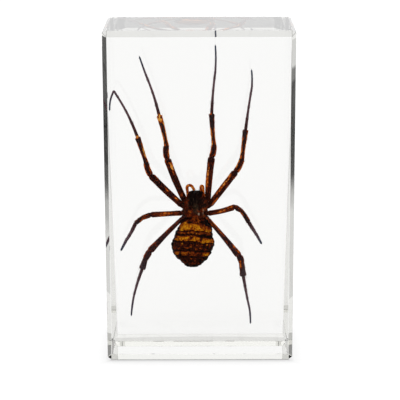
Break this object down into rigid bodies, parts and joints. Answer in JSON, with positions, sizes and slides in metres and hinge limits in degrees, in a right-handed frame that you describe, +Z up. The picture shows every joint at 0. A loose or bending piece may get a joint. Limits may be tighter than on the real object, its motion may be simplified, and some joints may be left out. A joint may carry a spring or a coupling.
{
  "type": "spider in resin block",
  "caption": "Banded orb-weaver spider with its legs spread, sealed in an upright block of clear resin with chamfered edges.",
  "frame": {"origin": "middle of the block's base, where it stands", "axes": "+Z up along the block's height, +Y from the viewed face to the back along its depth, +X to the viewer's right"},
  "size_m": [0.0406, 0.0226, 0.073],
  "materials": {
    "clear_resin": "clear casting resin, polished",
    "dried_spider": "dried cuticle, dark brown with ochre bands, slight sheen"
  },
  "bodies": {
    "root": {"block_front": "clear_resin", "block_back": "clear_resin", "spider": "dried_spider"}
  },
  "joints": []
}
